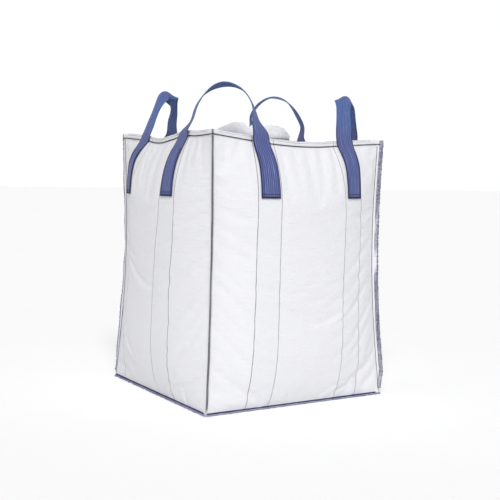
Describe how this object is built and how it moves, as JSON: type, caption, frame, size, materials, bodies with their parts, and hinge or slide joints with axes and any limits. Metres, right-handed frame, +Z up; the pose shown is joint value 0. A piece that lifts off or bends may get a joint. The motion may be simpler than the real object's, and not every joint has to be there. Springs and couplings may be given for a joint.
{
  "type": "bulk bag",
  "caption": "Filled, square flexible bulk bag with bulging sewn side panels, webbing lifting loops across its corners and an open filling spout in its top",
  "frame": {"origin": "middle of the base's underside, on the floor", "axes": "+Z up, -Y out of the front panel, +X to the right seen from the front"},
  "size_m": [1.0584, 1.0584, 1.4295],
  "materials": {
    "woven_fabric_white": "woven polypropylene tape cloth, matt with a slight sheen",
    "spout_fabric_white": "lighter woven polypropylene, matt",
    "webbing_blue_violet": "ribbed polypropylene webbing, matt",
    "tack_thread_dark_blue": "dense matt stitching",
    "corner_thread_charcoal": "matt overlock thread",
    "seam_thread_navy": "matt overlock thread",
    "rim_thread_black": "matt chain stitch"
  },
  "bodies": {
    "bag": {"side_panel_front": "woven_fabric_white", "side_panel_right": "woven_fabric_white", "side_panel_back": "woven_fabric_white", "side_panel_left": "woven_fabric_white", "base_panel": "woven_fabric_white", "top_panel": "woven_fabric_white", "filling_spout": "spout_fabric_white", "spout_seam": "seam_thread_navy", "loop_leg_front_near_front_left": "webbing_blue_violet", "loop_tack_front_near_front_left": "tack_thread_dark_blue", "loop_leg_front_near_front_right": "webbing_blue_violet", "loop_tack_front_near_front_right": "tack_thread_dark_blue", "loop_leg_right_near_front_right": "webbing_blue_violet", "loop_tack_right_near_front_right": "tack_thread_dark_blue", "loop_leg_right_near_back_right": "webbing_blue_violet", "loop_tack_right_near_back_right": "tack_thread_dark_blue", "loop_leg_back_near_back_right": "webbing_blue_violet", "loop_tack_back_near_back_right": "tack_thread_dark_blue", "loop_leg_back_near_back_left": "webbing_blue_violet", "loop_tack_back_near_back_left": "tack_thread_dark_blue", "loop_leg_left_near_back_left": "webbing_blue_violet", "loop_tack_left_near_back_left": "tack_thread_dark_blue", "loop_leg_left_near_front_left": "webbing_blue_violet", "loop_tack_left_near_front_left": "tack_thread_dark_blue", "corner_overlock_front_left": "corner_thread_charcoal", "base_overlock_front": "seam_thread_navy", "rim_stitch_front": "rim_thread_black", "corner_overlock_front_right": "corner_thread_charcoal", "base_overlock_right": "seam_thread_navy", "rim_stitch_right": "rim_thread_black", "corner_overlock_back_right": "corner_thread_charcoal", "base_overlock_back": "seam_thread_navy", "rim_stitch_back": "rim_thread_black", "corner_overlock_back_left": "corner_thread_charcoal", "base_overlock_left": "seam_thread_navy", "rim_stitch_left": "rim_thread_black"},
    "loop_front_left": {"lifting_loop_front_left": "webbing_blue_violet"},
    "loop_front_right": {"lifting_loop_front_right": "webbing_blue_violet"},
    "loop_back_right": {"lifting_loop_back_right": "webbing_blue_violet"},
    "loop_back_left": {"lifting_loop_back_left": "webbing_blue_violet"},
    "sleeve": {"spout_sleeve": "spout_fabric_white"}
  },
  "joints": [
    {"name": "loop_front_left_swing", "type": "hinge", "parent": "bag", "child": "loop_front_left", "pos_m": [-0.31762, -0.31762, 1.262], "axis": [0.7071, -0.7071, 0], "range_deg": [-60, 80], "stiffness_Nm_per_rad": 0.6},
    {"name": "loop_front_right_swing", "type": "hinge", "parent": "bag", "child": "loop_front_right", "pos_m": [0.34013, -0.34013, 1.262], "axis": [0.7071, 0.7071, 0], "range_deg": [-60, 80], "stiffness_Nm_per_rad": 0.6},
    {"name": "loop_back_right_swing", "type": "hinge", "parent": "bag", "child": "loop_back_right", "pos_m": [0.31762, 0.31762, 1.262], "axis": [-0.7071, 0.7071, 0], "range_deg": [-60, 80], "stiffness_Nm_per_rad": 0.6},
    {"name": "loop_back_left_swing", "type": "hinge", "parent": "bag", "child": "loop_back_left", "pos_m": [-0.31512, 0.31512, 1.262], "axis": [-0.7071, -0.7071, 0], "range_deg": [-60, 80], "stiffness_Nm_per_rad": 0.6},
    {"name": "spout_raise", "type": "slide", "parent": "bag", "child": "sleeve", "axis": [0, 0, 1], "range_m": [0, 0.28]}
  ]
}
